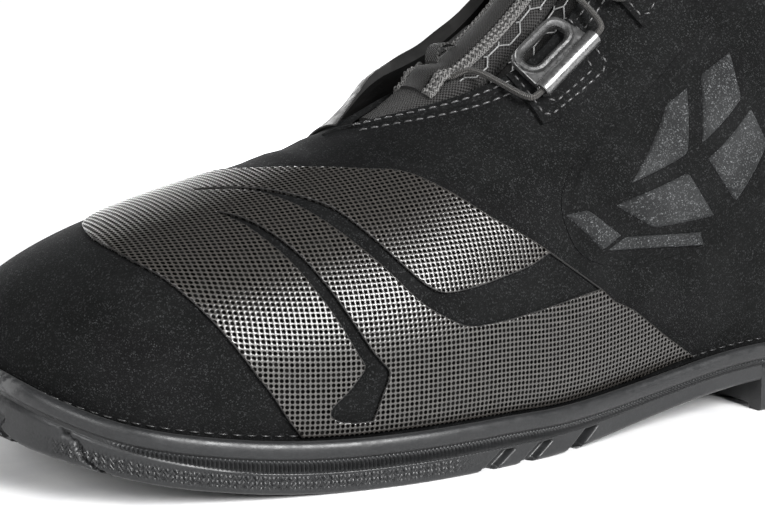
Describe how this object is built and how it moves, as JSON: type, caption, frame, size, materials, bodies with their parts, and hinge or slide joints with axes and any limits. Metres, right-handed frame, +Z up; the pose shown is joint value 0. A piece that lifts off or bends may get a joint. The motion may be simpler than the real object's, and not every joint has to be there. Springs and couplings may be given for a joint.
{
  "type": "riding boot",
  "caption": "Short riding boot for the left foot, with a rubber cup sole, a woven forefoot guard, lace guides and a closure dial on its tongue.",
  "frame": {"origin": "centre of the sole's outline on the ground", "axes": "+Z up, -X towards the toe, +X towards the heel, -Y towards the outer side of a left foot"},
  "size_m": [0.302, 0.1071, 0.2167],
  "materials": {
    "nubuck": "matte",
    "weave": "satin",
    "rubber": "matte",
    "foam": "matte",
    "board": "matte",
    "textile": "matte",
    "moulded": "matte",
    "plastic": "satin",
    "steel": "satin",
    "gunmetal": "satin",
    "cord": "satin"
  },
  "bodies": {
    "boot": {"collar_roll": "nubuck", "footbed": "textile", "guide_tab_lateral_1": "textile", "guide_tab_lateral_2": "textile", "guide_tab_lateral_3": "textile", "heel_backstay": "nubuck", "heel_counter": "board", "insole_board": "board", "lace": "cord", "lace_guide_lateral_1": "gunmetal", "lace_guide_lateral_2": "gunmetal", "lace_guide_lateral_3": "gunmetal", "lace_guide_medial_1": "gunmetal", "lace_guide_medial_2": "gunmetal", "lace_guide_medial_3": "gunmetal", "lateral_ankle_guard": "moulded", "lateral_eyestay": "textile", "lateral_gusset": "textile", "lining": "textile", "medial_ankle_guard": "moulded", "medial_eyestay": "nubuck", "medial_gusset": "textile", "medial_quarter": "nubuck", "midsole": "foam", "outsole": "rubber", "rear_pull_loop": "textile", "shank": "steel", "shift_guard": "weave", "toe_puff": "board", "vamp_and_lateral_quarter": "nubuck"},
    "tongue": {"tongue": "textile", "tongue_strip": "nubuck", "tongue_tape_lateral": "textile", "tongue_tape_medial": "textile", "tongue_pull_tab": "textile", "dial_plate": "plastic", "dial_housing": "plastic", "dial_screw": "steel"},
    "spool": {"dial_spool": "plastic"},
    "driver": {"dial_driver": "plastic", "dial_spring": "steel"},
    "knob": {"dial_knob": "plastic"}
  },
  "joints": [
    {"name": "tongue_tilt", "type": "hinge", "parent": "boot", "child": "tongue", "pos_m": [-0.0345, 0, 0.08139], "axis": [0, -1, 0], "range_deg": [0, 22], "deforming": ["lace"]},
    {"name": "dial_spin", "type": "hinge", "parent": "tongue", "child": "driver", "pos_m": [0.03753, 0, 0.18583], "axis": [-0.9708, 0, 0.2399], "continuous": true},
    {"name": "spool_spin", "type": "hinge", "parent": "tongue", "child": "spool", "pos_m": [0.03753, 0, 0.18583], "axis": [-0.9708, 0, 0.2399], "continuous": true},
    {"name": "knob_pull", "type": "slide", "parent": "driver", "child": "knob", "axis": [-0.9708, 0, 0.2399], "range_m": [0, 0.0025]}
  ],
  "couplings": [
    {"joint": "spool_spin", "follows": "dial_spin", "ratio": 1}
  ]
}
